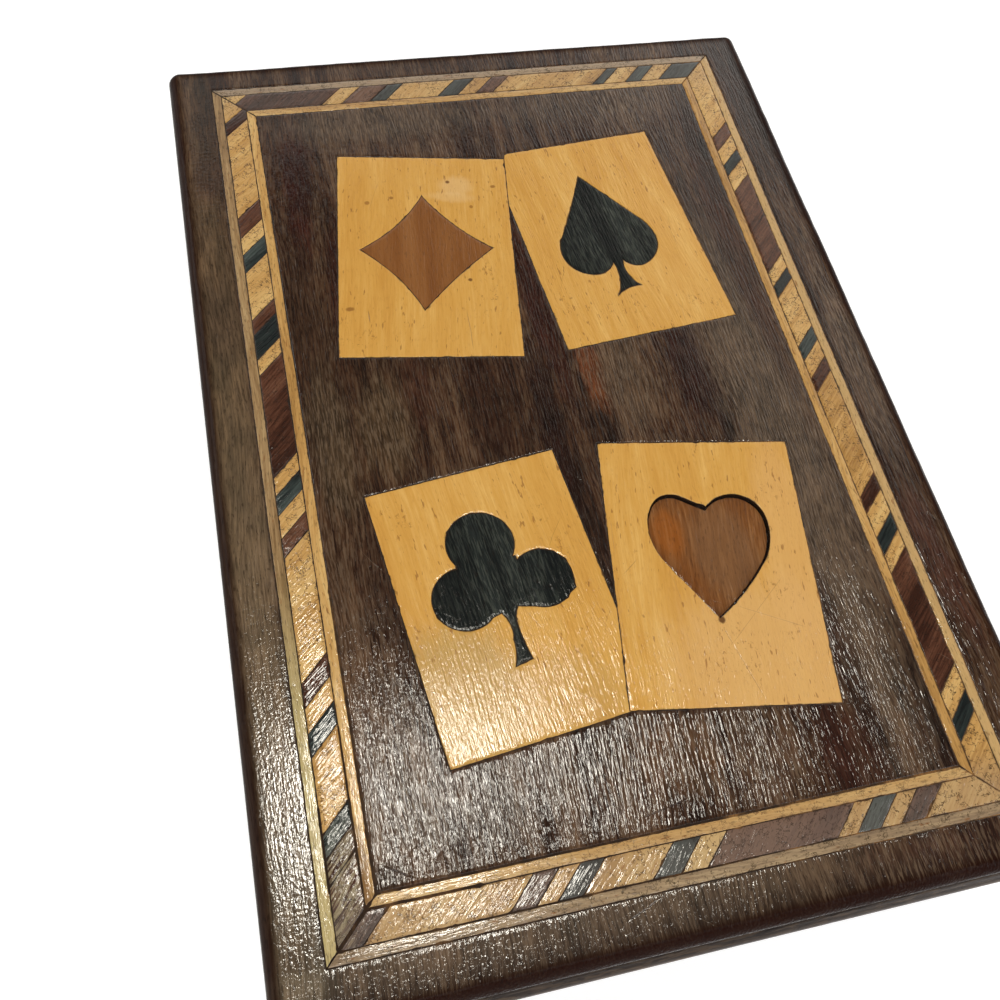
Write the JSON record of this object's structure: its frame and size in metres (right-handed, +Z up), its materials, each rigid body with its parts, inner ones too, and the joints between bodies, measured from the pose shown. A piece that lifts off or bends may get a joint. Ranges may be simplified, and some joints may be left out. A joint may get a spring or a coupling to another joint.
{
  "type": "playing card box with drawer",
  "caption": "Flat hardwood box for two decks of playing cards, with an end drawer in two compartments and an inlaid top of four cards inside a banded border.",
  "frame": {"origin": "middle of the underside of the case", "axes": "+X to the right seen from above with the drawer end nearest, +Y away from the drawer, +Z up"},
  "size_m": [0.105, 0.1536, 0.035],
  "materials": {
    "rosewood": "dark reddish brown rosewood, worn glossy varnish",
    "pale_wood": "honey coloured pale wood, varnished",
    "brown_wood": "mid brown wood, varnished",
    "black_wood": "black stained wood, varnished",
    "drawer_wood": "plain pale wood, sanded and unvarnished"
  },
  "bodies": {
    "case": {"top_panel": "rosewood", "top_backing": "pale_wood", "bottom_board": "rosewood", "left_wall": "rosewood", "right_wall": "rosewood", "back_wall": "rosewood", "diamond_card": "pale_wood", "spade_card": "pale_wood", "club_card": "pale_wood", "heart_card": "pale_wood", "diamond_pip": "brown_wood", "spade_pip": "black_wood", "club_pip": "black_wood", "heart_pip": "brown_wood", "outer_string_left": "pale_wood", "inner_string_left": "pale_wood", "band_left_pale": "pale_wood", "band_left_brown": "brown_wood", "band_left_black": "black_wood", "outer_string_near": "pale_wood", "inner_string_near": "pale_wood", "band_near_pale": "pale_wood", "band_near_brown": "brown_wood", "band_near_black": "black_wood", "outer_string_right": "pale_wood", "inner_string_right": "pale_wood", "band_right_pale": "pale_wood", "band_right_brown": "brown_wood", "band_right_black": "black_wood", "outer_string_far": "pale_wood", "inner_string_far": "pale_wood", "band_far_pale": "pale_wood", "band_far_brown": "brown_wood", "band_far_black": "black_wood"},
    "drawer": {"drawer_front": "rosewood", "drawer_left_side": "drawer_wood", "drawer_right_side": "drawer_wood", "drawer_back": "drawer_wood", "drawer_bottom": "drawer_wood", "drawer_divider": "drawer_wood"}
  },
  "joints": [
    {"name": "drawer_slide", "type": "slide", "parent": "case", "child": "drawer", "axis": [0, -1, 0], "range_m": [0, 0.118]}
  ]
}
